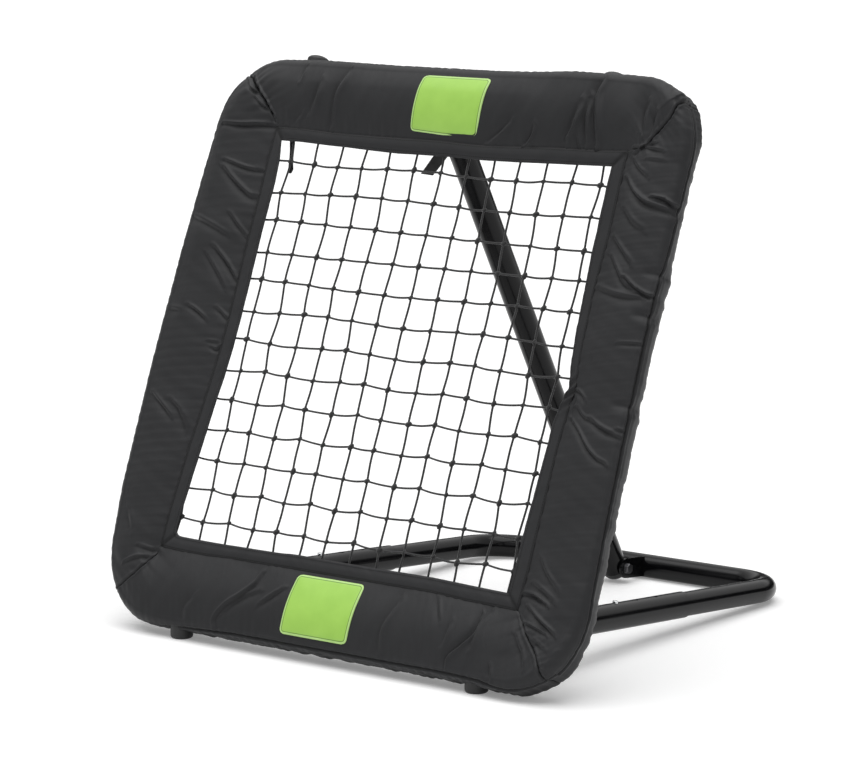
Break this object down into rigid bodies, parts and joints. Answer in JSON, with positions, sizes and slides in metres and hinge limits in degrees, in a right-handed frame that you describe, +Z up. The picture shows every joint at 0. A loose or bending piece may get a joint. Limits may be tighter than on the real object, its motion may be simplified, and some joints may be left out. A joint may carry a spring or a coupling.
{
  "type": "pitch back rebounder",
  "caption": "Padded square frame with a knotted net, leaning back on a telescoping U-shaped tube base and one central strut, so a thrown ball comes back.",
  "frame": {"origin": "centre of the bounding box in plan, on the floor", "axes": "+X to the right seen from the front, +Y to the rear, +Z up; the net faces -Y and upwards"},
  "size_m": [0.84, 0.776, 0.8014],
  "materials": {
    "tube_paint": "gloss",
    "zinc_steel": "satin",
    "foot_rubber": "matte",
    "net_twine": "matte",
    "elastic": "matte",
    "webbing": "matte",
    "foam": "matte",
    "cover_cloth": "satin",
    "patch_green": "satin",
    "plug_plastic": "satin"
  },
  "bodies": {
    "base_sleeves": {"sleeve_left": "tube_paint", "sleeve_right": "tube_paint", "sleeve_plug_left": "plug_plastic", "sleeve_plug_right": "plug_plastic"},
    "rear_leg": {"rear_tube": "tube_paint", "strut_clevis": "tube_paint", "strut_bolt": "zinc_steel", "strut_nut": "zinc_steel", "strut_washers": "zinc_steel"},
    "clip_left": {"snap_clip_left": "zinc_steel"},
    "clip_right": {"snap_clip_right": "zinc_steel"},
    "main_frame": {"lower_tube": "tube_paint", "upper_tube": "tube_paint", "tube_couplers": "zinc_steel", "coupler_screws": "zinc_steel", "hinge_bracket_left": "tube_paint", "hinge_bracket_right": "tube_paint", "top_bracket": "tube_paint", "hinge_bolts": "zinc_steel", "hinge_nuts": "zinc_steel", "hinge_washers": "zinc_steel", "top_bolt": "zinc_steel", "top_nut": "zinc_steel", "top_washers": "zinc_steel", "foot_left": "foot_rubber", "foot_right": "foot_rubber", "top_cap_left": "foot_rubber", "top_cap_right": "foot_rubber", "net": "net_twine", "net_border_rope": "net_twine", "net_ties": "elastic", "lace_tail": "net_twine", "cover_straps": "webbing", "loose_strap": "webbing", "foam_bottom": "foam", "foam_top": "foam", "foam_left": "foam", "foam_right": "foam", "cover_bottom": "cover_cloth", "cover_top": "cover_cloth", "cover_left": "cover_cloth", "cover_right": "cover_cloth", "patch_top": "patch_green", "patch_bottom": "patch_green"},
    "strut": {"strut_tube": "tube_paint", "strut_plug_top": "plug_plastic", "strut_plug_bottom": "plug_plastic"}
  },
  "joints": [
    {"name": "leg_slide", "type": "slide", "parent": "base_sleeves", "child": "rear_leg", "axis": [0, 0.9974, -0.0717], "range_m": [-0.0475, 0.095]},
    {"name": "frame_tilt", "type": "hinge", "parent": "base_sleeves", "child": "main_frame", "pos_m": [0, -0.31966, 0.06711], "axis": [-1, 0, 0], "range_deg": [-2.95, 5.8]},
    {"name": "strut_swing", "type": "hinge", "parent": "main_frame", "child": "strut", "pos_m": [0, -0.0844, 0.71431], "axis": [1, 0, 0], "range_deg": [-4.25, 8.45]},
    {"name": "clip_press_left", "type": "slide", "parent": "rear_leg", "child": "clip_left", "axis": [0, -0.0717, -0.9974], "range_m": [0, 0.005], "stiffness_N_per_m": 1200, "deforming": ["snap_clip_left"]},
    {"name": "clip_press_right", "type": "slide", "parent": "rear_leg", "child": "clip_right", "axis": [0, -0.0717, -0.9974], "range_m": [0, 0.005], "stiffness_N_per_m": 1200, "deforming": ["snap_clip_right"]}
  ],
  "couplings": [
    {"joint": "frame_tilt", "follows": "leg_slide", "rad_per_m": 1.0471},
    {"joint": "strut_swing", "follows": "leg_slide", "rad_per_m": 1.5208}
  ]
}
